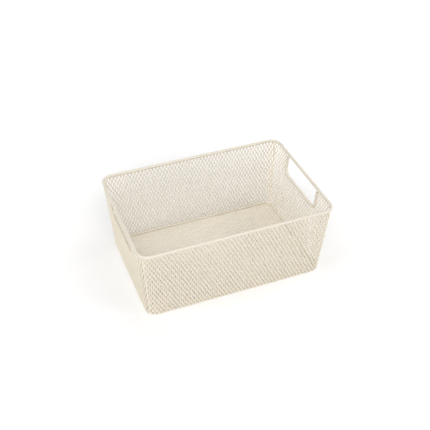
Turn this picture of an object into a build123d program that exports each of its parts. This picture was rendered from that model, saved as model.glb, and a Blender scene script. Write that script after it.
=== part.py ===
"""Tapered locker basket of expanded steel mesh with a round rim wire and a hand-hole in each short end.

The basket stands on its floor at z = 0, centred on the origin, with its length along X.
All lengths are in millimetres.
"""
import math
import os

from build123d import *

os.makedirs("parts", exist_ok=True)

# Basket, driving sizes
rim_length = 310.0
rim_width = 208.6
rim_height = 127.5
rim_corner_radius = 16.5
rim_wire_diameter = 5.0
base_length = 292.0
base_width = 191.5
base_corner_radius = 15.5

# Expanded mesh: pitches of its diamonds the short and the long way, and the strands between them
sheet = 1.0
short_pitch = 20.0
long_pitch = 40.0
strand_width = 4.2
edge_strand = 2.6
corner_gap_width = 8.0
least_gap_share = 0.15

# Height of the floor panel's turned-up border
floor_edge_height = 5.0

# Hand-hole in each end, clear of its wire edging
opening_length = 100.0
opening_height = 30.0
opening_corner_radius = 7.0
opening_wire_diameter = 3.8
opening_wire_sides = 12
opening_border = 3.2

# Clearances of the welded joints, and the overrun of every cut
weld_gap = 0.2
seam_gap = 0.3
cut_overrun = 4.0

rim_wire_radius = rim_wire_diameter / 2
opening_wire_radius = opening_wire_diameter / 2
wall_foot = weld_gap
wall_top = rim_height - rim_wire_radius - weld_gap

# A diamond gap is its cell less one strand, so both diagonals shrink by the same share
cell_width_across_strands = short_pitch * long_pitch / math.hypot(short_pitch, long_pitch)
gap_share = 1 - strand_width / cell_width_across_strands
gap_short = short_pitch * gap_share
gap_long = long_pitch * gap_share


def between_base_and_rim(base_value, rim_value, height):
    """Size at a height of the straight taper from the base's outline to the rim's centre line."""
    return base_value + (rim_value - base_value) * height / rim_height


def half_length_at(height):
    return between_base_and_rim(base_length / 2, rim_length / 2 + sheet / 2, height)


def half_width_at(height):
    return between_base_and_rim(base_width / 2, rim_width / 2 + sheet / 2, height)


def corner_radius_at(height):
    return between_base_and_rim(base_corner_radius, rim_corner_radius + sheet / 2, height)


def diamond(width, height):
    return [(width / 2, 0), (0, height / 2), (-width / 2, 0), (0, -height / 2)]


class Wall:
    """One side of the taper: turn 0 faces -Y, and 90, 180 and 270 face +X, +Y and -X."""

    def __init__(self, turn, half_span_at, reach_at):
        self.turn = turn
        self.half_span_at = half_span_at
        self.reach_at = reach_at
        self.along = Vector(1, 0, 0).rotate(Axis.Z, turn)
        self.outward = Vector(0, -1, 0).rotate(Axis.Z, turn)
        self.lean = reach_at(rim_height) - reach_at(0)
        self.slant_share = math.hypot(self.lean, rim_height) / rim_height

    def slant(self, height):
        """Distance up the wall's own plane at a height above the floor."""
        return height * self.slant_share

    def plane(self, depth):
        """The wall's plane at a depth in from its outer face, measured level."""
        up = self.outward * self.lean + Vector(0, 0, rim_height)
        foot = self.outward * (self.reach_at(0) - depth)
        return Plane(origin=foot, x_dir=self.along, z_dir=self.along.cross(up))

    def flat_half_width(self, height):
        """Half the flat stretch between the two rounded corners."""
        return self.half_span_at(height) - corner_radius_at(height)

    def flat_outline(self, side_inset, edge_inset):
        """Trapezium of the flat stretch, drawn in by an inset at its sides and at its top and foot."""
        foot_half = self.flat_half_width(wall_foot) - side_inset
        top_half = self.flat_half_width(wall_top) - side_inset
        foot = self.slant(wall_foot) + edge_inset
        top = self.slant(wall_top) - edge_inset
        return [(-foot_half, foot), (foot_half, foot), (top_half, top), (-top_half, top)]

    def corner_point(self, side, angle, height):
        """Point on the rounded corner's outer face, at an angle round from the flat."""
        radius = corner_radius_at(height)
        along = side * (self.flat_half_width(height) + radius * math.sin(math.radians(angle)))
        outward = self.reach_at(height) - radius + radius * math.cos(math.radians(angle))
        return self.along * along + self.outward * outward + Vector(0, 0, height)


front = Wall(0, half_length_at, half_width_at)
right = Wall(90, half_width_at, half_length_at)
back = Wall(180, half_length_at, half_width_at)
left = Wall(270, half_width_at, half_length_at)

# Each panel wraps half way round its two corners, where the neighbours' edges are welded
wrap_angle = 45 - math.degrees(seam_gap / 2 / base_corner_radius)


def corner_section(wall, side, height):
    """Cross-section of a panel's rounded end at a height."""
    radius = corner_radius_at(height)
    centre = (side * wall.flat_half_width(height), radius - wall.reach_at(height))
    with BuildSketch(Plane.XY.rotated((0, 0, wall.turn)).offset(height)) as section:
        with BuildLine():
            outer = CenterArc(centre, radius, -90, side * wrap_angle)
            inner = CenterArc(centre, radius - sheet, -90, side * wrap_angle)
            Line(outer @ 0, inner @ 0)
            Line(outer @ 1, inner @ 1)
        make_face()
    return section.sketch


def wrap_corner(wall, side):
    """Rounded end of a panel with its column of gaps, which runs up the middle of the bend."""
    sections = [corner_section(wall, side, height) for height in (wall_foot, wall_top)]
    loft(sections, ruled=True)
    foot = wall.corner_point(side, wrap_angle / 2, wall_foot)
    top = wall.corner_point(side, wrap_angle / 2, wall_top)
    ruling = top - foot
    tangent = wall.along * math.cos(math.radians(wrap_angle / 2))
    tangent = tangent - wall.outward * (side * math.sin(math.radians(wrap_angle / 2)))
    normal = tangent.cross(ruling)
    rows = int((ruling.length - edge_strand) / long_pitch)
    middle = Plane(origin=(foot + top) * 0.5, x_dir=ruling.cross(normal), z_dir=normal)
    with BuildSketch(middle) as column:
        with GridLocations(long_pitch, long_pitch, 1, rows):
            Polygon(*diamond(corner_gap_width, gap_long))
    extrude(column.sketch, amount=sheet + cut_overrun, both=True, mode=Mode.SUBTRACT)


def whole_enough(gaps):
    """The gaps of a lattice, less the slivers that its border leaves of some."""
    least_area = gap_short * gap_long / 2 * least_gap_share
    return gaps.faces().filter_by(lambda gap: gap.area > least_area)


def mesh_gaps(wall, border=None):
    """Lattice of upright diamonds over a wall's flat stretch, cut through its gaps along the floor."""
    columns = int(2 * wall.flat_half_width(wall_top) / short_pitch) + 1
    rows = int(wall.slant(wall_top) / long_pitch) + 1
    first_row = wall.slant(wall_foot) + edge_strand
    with BuildSketch(Plane.XY) as gaps:
        for extra in (0, 1):
            with Locations((0, first_row + extra * long_pitch / 2)):
                with GridLocations(
                    short_pitch, long_pitch, columns + extra, rows, align=(Align.CENTER, Align.MIN)
                ):
                    Polygon(*diamond(gap_short, gap_long))
        Polygon(*wall.flat_outline(strand_width / 2, edge_strand), align=None, mode=Mode.INTERSECT)
        if border is not None:
            add(border, mode=Mode.SUBTRACT)
    return whole_enough(gaps)


def hand_hole(wall, grow):
    """The hand-hole's outline on the wall, open at the rim, grown all round from its clear size."""
    half = opening_length / 2 + grow
    bottom = wall.slant(rim_height) - rim_wire_radius - opening_height - grow
    top = wall.slant(wall_top) + cut_overrun
    with BuildSketch(Plane.XY) as hole:
        with BuildLine():
            FilletPolyline(
                (-half, top), (-half, bottom), (half, bottom), (half, top),
                radius=opening_corner_radius + grow,
            )
            Line((-half, top), (half, top))
        make_face()
    return hole.sketch


for label, wall in (("front_wall_mesh", front), ("back_wall_mesh", back)):
    with BuildPart() as long_wall:
        with BuildSketch(wall.plane(sheet)):
            Polygon(*wall.flat_outline(0, 0), align=None)
            add(mesh_gaps(wall), mode=Mode.SUBTRACT)
        extrude(amount=sheet, dir=wall.outward)
        wrap_corner(wall, -1)
        wrap_corner(wall, 1)
    long_wall.part.label = label
    export_step(long_wall.part, f"parts/{label}.step")

for label, wall in (("left_wall_mesh", left), ("right_wall_mesh", right)):
    with BuildPart() as end_wall:
        with BuildSketch(wall.plane(sheet)):
            Polygon(*wall.flat_outline(0, 0), align=None)
            add(hand_hole(wall, opening_wire_radius), mode=Mode.SUBTRACT)
            border = hand_hole(wall, opening_wire_radius + opening_border)
            add(mesh_gaps(wall, border), mode=Mode.SUBTRACT)
        extrude(amount=sheet, dir=wall.outward)
        wrap_corner(wall, -1)
        wrap_corner(wall, 1)
    end_wall.part.label = label
    export_step(end_wall.part, f"parts/{label}.step")

# Floor panel: a flat net inside the walls, which has a strand crossing at its centre
floor_length = base_length - 2 * (sheet + weld_gap)
floor_width = base_width - 2 * (sheet + weld_gap)
floor_corner_radius = base_corner_radius - sheet - weld_gap
floor_margin = sheet + edge_strand
floor_columns = 2 * int(floor_length / 2 / long_pitch) + 2
floor_rows = 2 * int(floor_width / 2 / short_pitch) + 1

with BuildSketch(Plane.XY) as floor_gaps:
    for extra in (0, 1):
        with GridLocations(long_pitch, short_pitch, floor_columns + extra, floor_rows + extra):
            Polygon(*diamond(gap_long, gap_short))
    RectangleRounded(
        floor_length - 2 * floor_margin,
        floor_width - 2 * floor_margin,
        floor_corner_radius - floor_margin,
        mode=Mode.INTERSECT,
    )

with BuildPart() as floor_mesh:
    with BuildSketch(Plane.XY):
        RectangleRounded(floor_length, floor_width, floor_corner_radius)
        add(whole_enough(floor_gaps), mode=Mode.SUBTRACT)
    extrude(amount=sheet)
floor_mesh.part.label = "floor_mesh"
export_step(floor_mesh.part, "parts/floor_mesh.step")

# Floor panel's border, turned up against the walls that it is welded to
with BuildPart() as floor_edge:
    with BuildSketch(Plane.XY.offset(sheet)):
        RectangleRounded(floor_length, floor_width, floor_corner_radius)
        offset(amount=-sheet, mode=Mode.SUBTRACT)
    extrude(amount=floor_edge_height - sheet)
floor_edge.part.label = "floor_edge"
export_step(floor_edge.part, "parts/floor_edge.step")

# Rim: round wire bent to the rounded rectangle that the walls hang from
with BuildPart() as rim_wire:
    with BuildLine(Plane.XY.offset(rim_height)) as rim_path:
        FilletPolyline(
            (-rim_length / 2, -rim_width / 2),
            (rim_length / 2, -rim_width / 2),
            (rim_length / 2, rim_width / 2),
            (-rim_length / 2, rim_width / 2),
            radius=rim_corner_radius,
            close=True,
        )
    with BuildSketch(Plane(origin=rim_path.line @ 0, z_dir=rim_path.line % 0)):
        Circle(rim_wire_radius)
    sweep()
rim_wire.part.label = "rim_wire"
export_step(rim_wire.part, "parts/rim_wire.step")

# Hand-hole edging: a U of wire inside each end wall, with its legs up to the rim
for label, wall in (("left_handle_wire", left), ("right_handle_wire", right)):
    leg = opening_length / 2 + opening_wire_radius
    leg_top = wall.slant(rim_height) - rim_wire_radius - weld_gap
    bar = wall.slant(rim_height) - rim_wire_radius - opening_height - opening_wire_radius
    with BuildPart() as handle_wire:
        with BuildLine(wall.plane(sheet + weld_gap + opening_wire_radius)) as handle_path:
            FilletPolyline(
                (-leg, leg_top), (-leg, bar), (leg, bar), (leg, leg_top),
                radius=opening_corner_radius + opening_wire_radius,
            )
        with BuildSketch(Plane(origin=handle_path.line @ 0, z_dir=handle_path.line % 0)):
            RegularPolygon(opening_wire_radius, opening_wire_sides)
        sweep()
    handle_wire.part.label = label
    export_step(handle_wire.part, f"parts/{label}.step")
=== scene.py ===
"""Looks of the locker basket: real-size expanded mesh, rim and hand-hole wires, all powder-coated."""
import math

import bmesh
import bpy
import numpy as np
from mathutils import Matrix, Vector


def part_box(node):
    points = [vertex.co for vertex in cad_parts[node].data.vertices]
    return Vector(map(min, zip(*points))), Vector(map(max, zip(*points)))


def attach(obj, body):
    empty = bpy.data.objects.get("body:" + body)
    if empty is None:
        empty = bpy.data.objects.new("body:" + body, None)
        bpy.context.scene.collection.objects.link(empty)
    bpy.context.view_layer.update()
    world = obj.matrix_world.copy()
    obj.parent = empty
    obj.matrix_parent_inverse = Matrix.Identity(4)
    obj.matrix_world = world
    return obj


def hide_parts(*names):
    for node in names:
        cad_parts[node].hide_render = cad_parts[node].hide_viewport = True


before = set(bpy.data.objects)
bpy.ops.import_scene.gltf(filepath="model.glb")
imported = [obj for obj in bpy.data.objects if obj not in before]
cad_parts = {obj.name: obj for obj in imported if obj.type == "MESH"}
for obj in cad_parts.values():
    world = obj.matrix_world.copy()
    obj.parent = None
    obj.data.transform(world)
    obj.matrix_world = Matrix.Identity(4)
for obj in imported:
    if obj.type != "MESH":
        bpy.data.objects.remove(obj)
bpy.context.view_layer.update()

MM = 0.001
UP = (0, 0, 1)

# Sizes of the basket in metres: the rim's from the frame, the others as the solids have them
RIM_LOW, RIM_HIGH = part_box("rim_wire")
RIM_WIRE = RIM_HIGH.z - RIM_LOW.z
RIM_RADIUS = RIM_WIRE / 2
RIM_LENGTH = RIM_HIGH.x - RIM_LOW.x - RIM_WIRE
RIM_WIDTH = RIM_HIGH.y - RIM_LOW.y - RIM_WIRE
RIM_HEIGHT = (RIM_HIGH.z + RIM_LOW.z) / 2
RIM_CORNER = 16.5 * MM
SHEET = 1.0 * MM
BASE_LENGTH = 292.0 * MM - SHEET
BASE_WIDTH = 191.5 * MM - SHEET
BASE_CORNER = 15.5 * MM - SHEET / 2

# Real expanded mesh under its coat: pitches, strands and their twist out of the sheet, gaps and rounded edges
SHORT_PITCH = 6.0 * MM
LONG_PITCH = 12.0 * MM
STRAND = 2.0 * MM
STRAND_TWIST = math.radians(28)
STRAND_LIFT = STRAND * math.sin(STRAND_TWIST)
CREST_LIFT = 0.85 * STRAND_LIFT
BOND_LENGTH = 2.9 * MM
TIP_WIDTH = 0.4 * MM
COATED_SHEET = 1.1 * MM
EDGE_ROUND = 0.2 * MM
MESH_HALF_DEPTH = STRAND_LIFT + COATED_SHEET / 2 * math.cos(STRAND_TWIST)

# Wall panels: first row of gaps, ends of the mesh, the strip round the foot and the seams up the corners
FIRST_ROW = -LONG_PITCH * 3 / 4
MESH_BELOW_RIM = 0.5 * RIM_RADIUS
FOOT_STRIP = 2.0 * MM
FOOT_THICKNESS = 1.3 * MM
MESH_FOOT = 0.4 * FOOT_STRIP
SEAM_RADIUS = 1.0 * MM
SEAM_POINTS = 12

# Hand-holes: the opening inside the wire that edges it, and the middle line of that wire
OPENING_LENGTH = 100.0 * MM
OPENING_HEIGHT = 30.0 * MM
OPENING_CORNER = 7.0 * MM
HANDLE_RADIUS = 1.9 * MM
HANDLE_LAP = 0.15 * MM
HANDLE_BELOW_RIM = 0.9 * RIM_RADIUS
HANDLE_HALF = OPENING_LENGTH / 2 + HANDLE_RADIUS
HANDLE_CORNER = OPENING_CORNER + HANDLE_RADIUS

# Floor panel: gap to the walls' middle, flattening of its net, cuts round a corner in degrees, and its
# turned-up edge with the bead along the top
FLOOR_INSET = 2.1 * MM
FLOOR_FLATTENED = 0.75
FLOOR_CORNER_CUTS = (15, 37.5, 52.5, 75)
EDGE_INSET = FLOOR_INSET - 0.1 * MM
EDGE_THICKNESS = 0.8 * MM
EDGE_HEIGHT = 5.0 * MM
EDGE_FOOT = 0.8 * MM
EDGE_TOP = EDGE_HEIGHT - 0.3 * MM
BEAD_THICKNESS = 1.9 * MM
BEAD_INSET = FLOOR_INSET + EDGE_THICKNESS / 2 + 0.3 * MM

# Facets of rods and arcs, the fold from which an edge is sharp, and how near points count as one
ROUND_SIDES = 28
THIN_SIDES = 16
ARC_STEPS = 14
SHARP_ANGLE = math.radians(50)
WELD_STEP = 0.01 * MM
CUT_TOLERANCE = 1e-7

# Powder coat: colours as sRGB shares, gloss, and the uneven tone and fine ripple of the sprayed layer
MESH_COLOR = (0.95, 0.918, 0.855)
# The rods wear the same coat as the mesh. Their colour is set darker and greyer as painted shade for the
# rods' shaded sides and the hand-hole edging.
WIRE_SHADED_COLOR = (0.905, 0.875, 0.815)
MESH_ROUGHNESS = 0.42
WIRE_ROUGHNESS = 0.34
COAT_IOR = 1.5
TONE_SCALE = 60.0
TONE_DETAIL = 3.0
TONE_SPREAD = 0.03
RIPPLE_SCALE = 900.0
RIPPLE_DETAIL = 2.0
RIPPLE_STRENGTH = 0.25
RIPPLE_DEPTH = 0.05 * MM

# Studio: light from all round, how far the lamps are, and a pale floor just under the basket
WHITE = (1, 1, 1, 1)
AMBIENT = 0.42
LAMP_DISTANCE = 3.2
FLOOR_SIZE = 12.0
FLOOR_LEVEL = -0.05 * MM
FLOOR_COLOR = (0.88, 0.88, 0.88, 1)
FLOOR_ROUGHNESS = 0.9

# The floor's own glow: its strength near the basket and further out, and from how many metres to how many it
# grows, over an oval that is shorter along X
NEAR_GLOW = 0.13
FAR_GLOW = 0.6
GLOW_START = 0.24
GLOW_END = 0.6
GLOW_SQUEEZE = (1.3, 1.0, 1.0)

# Camera, fitted to the rim and the base: angles in degrees, lens and sensor in millimetres
CAMERA_AZIMUTH = -21.7748
CAMERA_ELEVATION = 39.1705
CAMERA_ROLL = -0.2947
CAMERA_OFFSET_RIGHT = -0.42 * MM
CAMERA_OFFSET_DOWN = 65.59 * MM
CAMERA_DISTANCE = 1272.7 * MM
FOCAL_LENGTH = 63.94
SENSOR_WIDTH = 36.0


class Wall:
    """One side of the taper: turn 0 faces -Y, and 90, 180 and 270 face +X, +Y and -X.

    Spans are the basket's sizes along the wall at the base and at the rim, and reaches those across it.
    """

    def __init__(self, turn, spans, reaches):
        angle = math.radians(turn)
        self.along = np.array((math.cos(angle), math.sin(angle), 0.0))
        self.outward = np.array((math.sin(angle), -math.cos(angle), 0.0))
        self.half_spans = [span / 2 for span in spans]
        self.half_reaches = [reach / 2 for reach in reaches]
        lean = (reaches[1] - reaches[0]) / 2
        self.slant_per_height = math.hypot(lean, RIM_HEIGHT) / RIM_HEIGHT
        self.normal = (self.outward - np.array((0, 0, lean / RIM_HEIGHT))) / self.slant_per_height
        self.rim_slant = RIM_HEIGHT * self.slant_per_height

    def between(self, foot, rim, rise):
        """A size that changes evenly from foot to rim, at a rise up the slant."""
        return foot + (rim - foot) * rise / self.rim_slant

    def corner_radius(self, rise):
        return self.between(BASE_CORNER, RIM_CORNER, rise)

    def flat_half(self, rise):
        """Half the flat stretch between the rounded corners."""
        return self.between(*self.half_spans, rise) - self.corner_radius(rise)

    def seam(self, rise):
        """Half the unrolled panel, from its middle to the seam half way round the corner."""
        return self.flat_half(rise) + self.corner_radius(rise) * math.pi / 4

    def place(self, unrolled):
        """Where points (across, up the slant, out of the sheet) of the unrolled panel lie on the basket."""
        across, rise, out = unrolled.T
        flat, radius = self.flat_half(rise), self.corner_radius(rise)
        angle = np.maximum(np.abs(across) - flat, 0) / radius
        bent = np.minimum(np.abs(across), flat) + (radius + out) * np.sin(angle)
        level_out = self.between(*self.half_reaches, rise) - radius + radius * np.cos(angle)
        points = np.outer(np.sign(across) * bent, self.along) + np.outer(level_out, self.outward)
        points += np.outer(out * np.cos(angle), self.normal)
        points[:, 2] += rise / self.slant_per_height
        return points

    def handle_bottom(self):
        """Rise of the middle of the wire that runs under the hand-hole."""
        return self.rim_slant - RIM_RADIUS - OPENING_HEIGHT - HANDLE_RADIUS


LENGTHS = (BASE_LENGTH, RIM_LENGTH)
WIDTHS = (BASE_WIDTH, RIM_WIDTH)
FRONT = Wall(0, LENGTHS, WIDTHS)
RIGHT = Wall(90, WIDTHS, LENGTHS)
BACK = Wall(180, LENGTHS, WIDTHS)
LEFT = Wall(270, WIDTHS, LENGTHS)


def unit(vectors):
    """Vectors, one to a row, at length 1."""
    return vectors / np.linalg.norm(vectors, axis=1)[:, None]


def grown(loop, distance):
    """A convex loop of points with each side moved out by a distance."""
    sides = np.roll(loop, -1, axis=0) - loop
    normals = unit(np.stack((sides[:, 1], -sides[:, 0]), axis=1))
    corner = normals + np.roll(normals, 1, axis=0)
    return loop + distance * corner * (2 / (corner**2).sum(axis=1))[:, None]


def mesh_cell():
    """One rhombic cell of the mesh with its gap: points and faces, upright, centred on the gap."""
    gap_half = SHORT_PITCH / 2 - STRAND * math.cos(STRAND_TWIST)
    gap_rise = (LONG_PITCH - BOND_LENGTH) / 2
    bond, tip = BOND_LENGTH / 2, TIP_WIDTH / 2
    gap = np.array([
        (gap_half, -bond), (gap_half, bond), (tip, gap_rise), (-tip, gap_rise),
        (-gap_half, bond), (-gap_half, -bond), (-tip, -gap_rise), (tip, -gap_rise),
    ])
    px, py = SHORT_PITCH / 4, LONG_PITCH / 4
    border = np.array([
        (px, -py), (2 * px, 0), (px, py), (0, 2 * py), (-px, py), (-2 * px, 0), (-px, -py), (0, -2 * py),
    ])
    crest = grown(gap, EDGE_ROUND)

    # Rings of points from the upper face round the gap's edge to the lower face: loop, level in the sheet and
    # lift, which raises the gap's right side out of the sheet and sinks its left side
    half = COATED_SHEET / 2
    rings = [(border, half, 0), (crest, half, CREST_LIFT), (gap, half - EDGE_ROUND, STRAND_LIFT)]
    rings += [(gap, EDGE_ROUND - half, STRAND_LIFT), (crest, -half, CREST_LIFT), (border, -half, 0)]
    side = np.array([1, 1, 0, 0, -1, -1, 0, 0])
    points = []
    for loop, level, lift in rings:
        across = loop[:, 0] + level * math.sin(STRAND_TWIST)
        points.append(np.column_stack((across, loop[:, 1], level * math.cos(STRAND_TWIST) + lift * side)))

    count = len(gap)
    faces = []
    for outer, inner, flip in ((0, count, False), (5 * count, 4 * count, True)):
        for i in range(0, count, 2):
            a, b, c = (outer + (i + k) % count for k in range(3))
            p, q, r = (inner + (i + k) % count for k in range(3))
            fan = [(p, a, b), (p, b, q), (q, b, c), (q, c, r)]
            faces += [face[::-1] for face in fan] if flip else fan
    for ring in (1, 2, 3):
        for i in range(count):
            a, b = ring * count + i, ring * count + (i + 1) % count
            faces.append((a, b, b + count, a + count))
    return np.concatenate(points), faces


def mesh_sheet(columns, rows, first_row, keep):
    """Staggered cells of the mesh over columns and rows, wherever keep says so, welded into one sheet."""
    centres = []
    for row in range(2 * rows + 1):
        for column in range(columns + row % 2):
            across = (column - (columns - 1 + row % 2) / 2) * SHORT_PITCH
            rise = row * LONG_PITCH / 2 + first_row
            if keep(across, rise):
                centres.append((across, rise, 0))
    cell, faces = mesh_cell()
    points = (cell[None] + np.array(centres)[:, None]).reshape(-1, 3)
    keys, index = np.unique(np.round(points / WELD_STEP).astype(np.int64), axis=0, return_inverse=True)
    index = index.reshape(-1)
    welded = np.zeros((len(keys), 3))
    welded[index] = points
    sheet = bmesh.new()
    verts = [sheet.verts.new(point) for point in welded]
    for start in range(0, len(points), len(cell)):
        for face in faces:
            sheet.faces.new([verts[index[start + i]] for i in face])
    return sheet


def cut(sheet, point, normal, near=None, clear=False):
    """Cuts the faces that near picks, or all, along a line, and with clear drops what lies beyond it.

    The parts are listed in the sheet's own order, because their order shows in the result.
    """
    faces = [f for f in sheet.faces if near is None or near(f.calc_center_median())]
    edges = dict.fromkeys(edge for face in faces for edge in face.edges)
    verts = dict.fromkeys(vert for face in faces for vert in face.verts)
    bmesh.ops.bisect_plane(
        sheet, geom=[*verts, *edges, *faces], dist=CUT_TOLERANCE,
        plane_co=point, plane_no=normal, clear_outer=clear,
    )


def drop(sheet, inside):
    """Deletes the faces whose middle is inside."""
    gone = [f for f in sheet.faces if inside(f.calc_center_median())]
    bmesh.ops.delete(sheet, geom=gone, context="FACES")


def close_cuts(sheet):
    """Faces on the cut ends of the strands, as triangles where the first fill leaves an end open."""
    ends = [e for e in sheet.edges if e.is_boundary]
    bmesh.ops.holes_fill(sheet, edges=ends, sides=0)
    missed = [e for e in sheet.edges if e.is_boundary]
    bmesh.ops.triangle_fill(sheet, edges=missed, use_beauty=True)
    bmesh.ops.recalc_face_normals(sheet, faces=sheet.faces)


def rod(bm, path, plane_normal, radius, closed, sides=ROUND_SIDES, normal_radius=None):
    """Adds wire along a path that lies in one plane: round, or oval with its own radius along the normal."""
    path = np.array(path)
    normal_radius = radius if normal_radius is None else normal_radius
    ahead = np.roll(path, -1, axis=0) - path
    behind = path - np.roll(path, 1, axis=0)
    if not closed:
        ahead[-1], behind[0] = behind[-1], ahead[0]
    tangent = unit(unit(ahead) + unit(behind))
    normal = np.array(plane_normal)
    rings = []
    for point, along in zip(path, tangent):
        side = np.cross(along, normal)
        ring = []
        for k in range(sides):
            turn = 2 * math.pi * k / sides
            offset = radius * math.cos(turn) * side + normal_radius * math.sin(turn) * normal
            ring.append(bm.verts.new(point + offset))
        rings.append(ring)
    following = rings[1:] + rings[:1] if closed else rings[1:]
    for ring, after in zip(rings, following):
        for k in range(sides):
            m = (k + 1) % sides
            bm.faces.new((ring[k], ring[m], after[m], after[k]))
    if not closed:
        bm.faces.new(rings[0][::-1])
        bm.faces.new(rings[-1])


def arc(centre, radius, start, end):
    """Points of an arc in a plane, from one angle in degrees to another."""
    turns = np.radians(np.linspace(start, end, ARC_STEPS + 1))
    return [(centre[0] + radius * math.cos(t), centre[1] + radius * math.sin(t)) for t in turns]


def rounded_rectangle(half_x, half_y, radius):
    """Outline of a rectangle round the middle, with arcs for corners."""
    points = []
    for sx, sy, start in ((1, -1, -90), (1, 1, 0), (-1, 1, 90), (-1, -1, 180)):
        points += arc((sx * (half_x - radius), sy * (half_y - radius)), radius, start, start + 90)
    return points


def piece(name, bm, material):
    """Object from a mesh, smooth but for its sharp edges."""
    mesh = bpy.data.meshes.new(name)
    bm.to_mesh(mesh)
    bm.free()
    mesh.materials.append(material)
    mesh.shade_smooth()
    mesh.set_sharp_from_angle(angle=SHARP_ANGLE)
    made = bpy.data.objects.new(name, mesh)
    bpy.context.scene.collection.objects.link(made)
    return made


def rod_piece(name, bm, material):
    """Object from rods, their faces turned outward first."""
    bmesh.ops.recalc_face_normals(bm, faces=bm.faces)
    return piece(name, bm, material)


def linear(srgb):
    """sRGB shares as linear light."""
    return tuple(((c + 0.055) / 1.055) ** 2.4 if c > 0.04045 else c / 12.92 for c in srgb)


def powder_coat(name, color, roughness):
    """Semi-gloss powder coat with the fine ripple of the sprayed layer and slightly uneven tone."""
    material = bpy.data.materials.new(name)
    material.use_nodes = True
    nodes, links = material.node_tree.nodes, material.node_tree.links
    shader = nodes["Principled BSDF"]
    shader.inputs["Roughness"].default_value = roughness
    shader.inputs["IOR"].default_value = COAT_IOR
    place = nodes.new("ShaderNodeTexCoord")
    tone = nodes.new("ShaderNodeTexNoise")
    tone.inputs["Scale"].default_value = TONE_SCALE
    tone.inputs["Detail"].default_value = TONE_DETAIL
    links.new(place.outputs["Object"], tone.inputs["Vector"])
    blend = nodes.new("ShaderNodeMix")
    blend.data_type = "RGBA"
    blend.inputs["A"].default_value = (*[c * (1 - TONE_SPREAD) for c in color], 1)
    blend.inputs["B"].default_value = (*[min(c * (1 + TONE_SPREAD), 1) for c in color], 1)
    links.new(tone.outputs["Fac"], blend.inputs["Factor"])
    links.new(blend.outputs["Result"], shader.inputs["Base Color"])
    ripple = nodes.new("ShaderNodeTexNoise")
    ripple.inputs["Scale"].default_value = RIPPLE_SCALE
    ripple.inputs["Detail"].default_value = RIPPLE_DETAIL
    links.new(place.outputs["Object"], ripple.inputs["Vector"])
    bump = nodes.new("ShaderNodeBump")
    bump.inputs["Strength"].default_value = RIPPLE_STRENGTH
    bump.inputs["Distance"].default_value = RIPPLE_DEPTH
    links.new(ripple.outputs["Fac"], bump.inputs["Height"])
    links.new(bump.outputs["Normal"], shader.inputs["Normal"])
    return material


mesh_coat = powder_coat("mesh_coat", linear(MESH_COLOR), MESH_ROUGHNESS)
# The rods' coat takes the darker wire colour, which is painted shade on the rim and the hand-hole wires.
wire_coat = powder_coat("wire_coat", linear(WIRE_SHADED_COLOR), WIRE_ROUGHNESS)


def wall_sheet(wall):
    """Unrolled mesh of a wall, cut at the rim, the foot and the two seams."""
    foot_half, rim_half = wall.seam(0), wall.seam(wall.rim_slant)
    columns = 2 * int(rim_half / SHORT_PITCH) + 3
    rows = int(wall.rim_slant / LONG_PITCH) + 2

    def keep(across, rise):
        between_seams = abs(across) < wall.seam(rise) + SHORT_PITCH
        return between_seams and -LONG_PITCH / 2 < rise < wall.rim_slant + LONG_PITCH / 2

    sheet = mesh_sheet(columns, rows, FIRST_ROW, keep)
    cut(sheet, (0, wall.rim_slant - MESH_BELOW_RIM, 0), (0, 1, 0), clear=True)
    cut(sheet, (0, MESH_FOOT, 0), (0, -1, 0), clear=True)
    for side in (-1, 1):
        across_seam = (side * wall.rim_slant, foot_half - rim_half, 0)
        cut(sheet, (side * foot_half, 0, 0), across_seam, clear=True)
    return sheet


def turn_over(sheet):
    """Mirrors a sheet, so that its strands are twisted the other way."""
    for vert in sheet.verts:
        vert.co.x *= -1
    bmesh.ops.reverse_faces(sheet, faces=sheet.faces)


def cut_hand_hole(wall, sheet):
    """Takes the hand-hole out of an end wall's mesh, up to the middle of its wire edging.

    A straight cut that touches the wire's bend takes the place of each rounded corner.
    """
    bottom = wall.handle_bottom()
    corner_cut = HANDLE_CORNER * (1 - math.sqrt(0.5)) * 2

    def around(c):
        return abs(c.x) < HANDLE_HALF + SHORT_PITCH and c.y > bottom - LONG_PITCH

    def inside(c):
        from_side, from_bottom = HANDLE_HALF - abs(c.x), c.y - bottom
        return from_side > 0 and from_bottom > 0 and from_side + from_bottom > corner_cut

    for point, normal in (
        ((0, bottom, 0), (0, 1, 0)),
        ((HANDLE_HALF, 0, 0), (1, 0, 0)),
        ((-HANDLE_HALF, 0, 0), (1, 0, 0)),
        ((HANDLE_HALF - corner_cut, bottom, 0), (1, -1, 0)),
        ((corner_cut - HANDLE_HALF, bottom, 0), (1, 1, 0)),
    ):
        cut(sheet, point, normal, near=around)
    drop(sheet, inside)


def wall_mesh(name, wall, end=False):
    """Wall panel; the panel of an end is turned over and has a hand-hole."""
    sheet = wall_sheet(wall)
    if end:
        turn_over(sheet)
        cut_hand_hole(wall, sheet)
    close_cuts(sheet)
    unrolled = np.array([v.co for v in sheet.verts])
    for vert, point in zip(sheet.verts, wall.place(unrolled)):
        vert.co = point
    made = piece(name + "_coated", sheet, mesh_coat)
    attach(made, "root")
    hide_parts(name)


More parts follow.
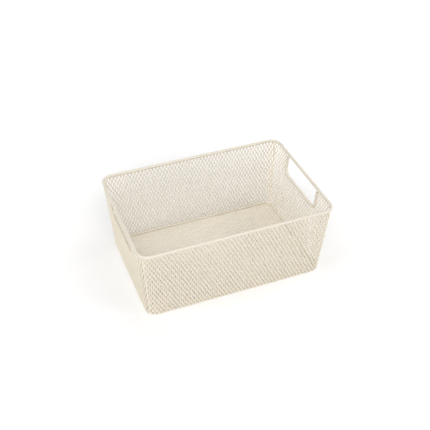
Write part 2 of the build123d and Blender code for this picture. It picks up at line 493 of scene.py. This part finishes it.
def floor_mesh():
    """Flat net of the floor panel, its long pitch along the basket, up to the panel's turned-up edge."""
    half_x, half_y, radius = (size - FLOOR_INSET for size in (BASE_LENGTH / 2, BASE_WIDTH / 2, BASE_CORNER))

    def keep(across, along):
        return abs(across) < half_y + SHORT_PITCH and abs(along) < half_x + LONG_PITCH

    columns = 2 * int(half_y / SHORT_PITCH) + 3
    rows = 2 * int(half_x / LONG_PITCH) + 2
    sheet = mesh_sheet(columns, rows, -rows * LONG_PITCH / 2, keep)
    for vert in sheet.verts:
        vert.co = (vert.co.y, -vert.co.x, (vert.co.z + MESH_HALF_DEPTH) * FLOOR_FLATTENED)
    for side in (-1, 1):
        cut(sheet, (side * half_x, 0, 0), (side, 0, 0), clear=True)
        cut(sheet, (0, side * half_y, 0), (0, side, 0), clear=True)
    for sx, sy in ((-1, -1), (-1, 1), (1, -1), (1, 1)):
        centre = Vector((sx * (half_x - radius), sy * (half_y - radius), 0))

        def at_corner(c):
            return sx * c.x > half_x - radius - LONG_PITCH and sy * c.y > half_y - radius - SHORT_PITCH

        for degrees in FLOOR_CORNER_CUTS:
            turn = math.radians(degrees)
            away = Vector((sx * math.cos(turn), sy * math.sin(turn), 0))
            point = centre + away * radius
            cut(sheet, point, away, near=at_corner)
            drop(sheet, lambda c: (c - point).dot(away) > 0 and at_corner(c))
    close_cuts(sheet)
    made = piece("floor_mesh_coated", sheet, mesh_coat)
    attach(made, "root")
    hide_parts("floor_mesh")


def border(name, bands, node=None):
    """Bands that follow the walls' foot: each has its inset, thickness, low and high edge."""
    bm = bmesh.new()
    for inset, thickness, low, high in bands:
        outline = rounded_rectangle(BASE_LENGTH / 2 - inset, BASE_WIDTH / 2 - inset, BASE_CORNER - inset)
        path = [(x, y, (low + high) / 2) for x, y in outline]
        rod(bm, path, UP, thickness / 2, closed=True, sides=THIN_SIDES, normal_radius=(high - low) / 2)
    made = rod_piece(name, bm, mesh_coat)
    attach(made, "root")
    if node:
        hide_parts(node)


def corner_seams():
    """Welded seams up the four corners, where each panel's edge meets its neighbour's."""
    bm = bmesh.new()
    for wall in (FRONT, BACK):
        rises = np.linspace(FOOT_STRIP / 2, wall.rim_slant - MESH_BELOW_RIM, SEAM_POINTS)
        for side in (-1, 1):
            path = wall.place(np.array([(side * wall.seam(rise), rise, 0) for rise in rises]))
            level = np.cross(path[-1] - path[0], wall.along + side * wall.outward)
            level /= np.linalg.norm(level)
            rod(bm, path, level, SEAM_RADIUS, closed=False, sides=THIN_SIDES)
    made = rod_piece("corner_seams", bm, mesh_coat)
    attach(made, "root")


def rim_wire():
    """Round rod, butt-welded into a ring, on the top edges of the walls."""
    bm = bmesh.new()
    outline = rounded_rectangle(RIM_LENGTH / 2, RIM_WIDTH / 2, RIM_CORNER)
    rod(bm, [(x, y, RIM_HEIGHT) for x, y in outline], UP, RIM_RADIUS, closed=True)
    made = rod_piece("rim_wire_coated", bm, wire_coat)
    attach(made, "root")
    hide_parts("rim_wire")


def handle_wire(name, wall):
    """U of wire inside an end wall that edges the hand-hole, with its legs up to the rim."""
    top = wall.rim_slant - HANDLE_BELOW_RIM
    bend_rise = wall.handle_bottom() + HANDLE_CORNER
    outline = [(-HANDLE_HALF, top)]
    outline += arc((HANDLE_CORNER - HANDLE_HALF, bend_rise), HANDLE_CORNER, 180, 270)
    outline += arc((HANDLE_HALF - HANDLE_CORNER, bend_rise), HANDLE_CORNER, 270, 360)
    outline += [(HANDLE_HALF, top)]
    depth = -(MESH_HALF_DEPTH - HANDLE_LAP + HANDLE_RADIUS)
    path = wall.place(np.array([(across, rise, depth) for across, rise in outline]))
    bm = bmesh.new()
    rod(bm, path, wall.normal, HANDLE_RADIUS, closed=False)
    made = rod_piece(name + "_coated", bm, wire_coat)
    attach(made, "root")
    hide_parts(name)


wall_mesh("front_wall_mesh", FRONT)
wall_mesh("back_wall_mesh", BACK)
wall_mesh("left_wall_mesh", LEFT, end=True)
wall_mesh("right_wall_mesh", RIGHT, end=True)
floor_mesh()
border("foot_strip_coated", [(0, FOOT_THICKNESS, 0, FOOT_STRIP)])
border("floor_edge_coated", [
    (EDGE_INSET, EDGE_THICKNESS, EDGE_FOOT, EDGE_TOP),
    (BEAD_INSET, BEAD_THICKNESS, EDGE_HEIGHT - BEAD_THICKNESS, EDGE_HEIGHT),
], "floor_edge")
corner_seams()
rim_wire()
handle_wire("left_handle_wire", LEFT)
handle_wire("right_handle_wire", RIGHT)


def white_backdrop(nodes, links, lit, white):
    """Shows a white surface to the camera and in gloss, and the lit one to every other ray."""
    path = nodes.new("ShaderNodeLightPath")
    seen = path.outputs["Is Camera Ray"]
    for ray in ("Is Glossy Ray", "Is Transmission Ray"):
        either = nodes.new("ShaderNodeMath")
        either.operation = "MAXIMUM"
        links.new(seen, either.inputs[0])
        links.new(path.outputs[ray], either.inputs[1])
        seen = either.outputs[0]
    mix = nodes.new("ShaderNodeMixShader")
    links.new(seen, mix.inputs["Fac"])
    links.new(lit, mix.inputs[1])
    links.new(white, mix.inputs[2])
    return mix.outputs["Shader"]


def studio_world():
    """Even light from all round, which the camera sees as white."""
    world = bpy.data.worlds.new("studio")
    bpy.context.scene.world = world
    world.use_nodes = True
    nodes, links = world.node_tree.nodes, world.node_tree.links
    ambient = nodes["Background"]
    ambient.inputs["Color"].default_value = WHITE
    ambient.inputs["Strength"].default_value = AMBIENT
    shown = nodes.new("ShaderNodeBackground")
    shown.inputs["Color"].default_value = WHITE
    shown.inputs["Strength"].default_value = 1.0
    look = white_backdrop(nodes, links, ambient.outputs["Background"], shown.outputs["Background"])
    links.new(look, nodes["World Output"].inputs["Surface"])


def floor_paint():
    """Pale matt paint with a glow that only the camera and gloss see, so that the floor fades to white."""
    paint = bpy.data.materials.new("floor_paint")
    paint.use_nodes = True
    nodes, links = paint.node_tree.nodes, paint.node_tree.links
    matt = nodes["Principled BSDF"]
    matt.inputs["Base Color"].default_value = FLOOR_COLOR
    matt.inputs["Roughness"].default_value = FLOOR_ROUGHNESS
    matt.inputs["Specular IOR Level"].default_value = 0.0
    glow = nodes.new("ShaderNodeEmission")
    spot = nodes.new("ShaderNodeTexCoord")
    squeezed = nodes.new("ShaderNodeVectorMath")
    squeezed.operation = "MULTIPLY"
    squeezed.inputs[1].default_value = GLOW_SQUEEZE
    links.new(spot.outputs["Object"], squeezed.inputs[0])
    away = nodes.new("ShaderNodeVectorMath")
    away.operation = "LENGTH"
    links.new(squeezed.outputs["Vector"], away.inputs[0])
    rise = nodes.new("ShaderNodeMapRange")
    rise.inputs["From Min"].default_value = GLOW_START
    rise.inputs["From Max"].default_value = GLOW_END
    rise.inputs["To Min"].default_value = NEAR_GLOW
    rise.inputs["To Max"].default_value = FAR_GLOW
    links.new(away.outputs["Value"], rise.inputs["Value"])
    links.new(rise.outputs["Result"], glow.inputs["Strength"])
    both = nodes.new("ShaderNodeAddShader")
    links.new(matt.outputs["BSDF"], both.inputs[0])
    links.new(glow.outputs["Emission"], both.inputs[1])
    look = white_backdrop(nodes, links, matt.outputs["BSDF"], both.outputs["Shader"])
    links.new(look, nodes["Material Output"].inputs["Surface"])
    return paint


def studio_floor():
    """Wide floor, which takes the basket's shadow."""
    bpy.ops.mesh.primitive_plane_add(size=FLOOR_SIZE, location=(0, 0, FLOOR_LEVEL))
    floor = bpy.context.object
    floor.name = "floor"
    floor.data.materials.append(floor_paint())


def toward(azimuth, elevation):
    """Direction from the basket, in degrees; azimuth 0 is in front of it, 90 at its +X end."""
    turn, rise = math.radians(azimuth), math.radians(elevation)
    return np.array((math.sin(turn) * math.cos(rise), -math.cos(turn) * math.cos(rise), math.sin(rise)))


def lamp(name, azimuth, elevation, size, power):
    """Square soft box that points at the basket's middle."""
    light = bpy.data.lights.new(name, "AREA")
    light.size = size
    light.energy = power
    made = bpy.data.objects.new(name, light)
    made.location = LAMP_DISTANCE * toward(azimuth, elevation)
    aim = Vector((0, 0, RIM_HEIGHT / 2)) - made.location
    made.rotation_euler = aim.to_track_quat("-Z", "Y").to_euler()
    bpy.context.scene.collection.objects.link(made)


def fitted_camera():
    """Camera at the photograph's view, turned by its roll round the line of sight."""
    forward = Vector(-toward(CAMERA_AZIMUTH, CAMERA_ELEVATION))
    azimuth, roll = math.radians(CAMERA_AZIMUTH), math.radians(CAMERA_ROLL)
    level = Vector((math.cos(azimuth), math.sin(azimuth), 0))
    down = forward.cross(level)
    right = level * math.cos(roll) + down * math.sin(roll)
    down = down * math.cos(roll) - level * math.sin(roll)
    data = bpy.data.cameras.new("camera")
    data.sensor_width = SENSOR_WIDTH
    data.lens = FOCAL_LENGTH
    made = bpy.data.objects.new("camera", data)
    turned = Matrix((right, -down, -forward)).transposed().to_4x4()
    aside = right * CAMERA_OFFSET_RIGHT + down * CAMERA_OFFSET_DOWN
    turned.translation = -(aside + forward * CAMERA_DISTANCE)
    made.matrix_world = turned
    bpy.context.scene.collection.objects.link(made)
    bpy.context.scene.camera = made


studio_world()
studio_floor()
lamp("key_by_camera", azimuth=-18, elevation=41, size=1.4, power=38)
lamp("side_left", azimuth=-85, elevation=42, size=1.1, power=22.5)
lamp("front_right", azimuth=50, elevation=34, size=1.1, power=13)
lamp("side_right", azimuth=95, elevation=40, size=1.1, power=16)
fitted_camera()
bpy.context.scene.view_settings.view_transform = "Standard"
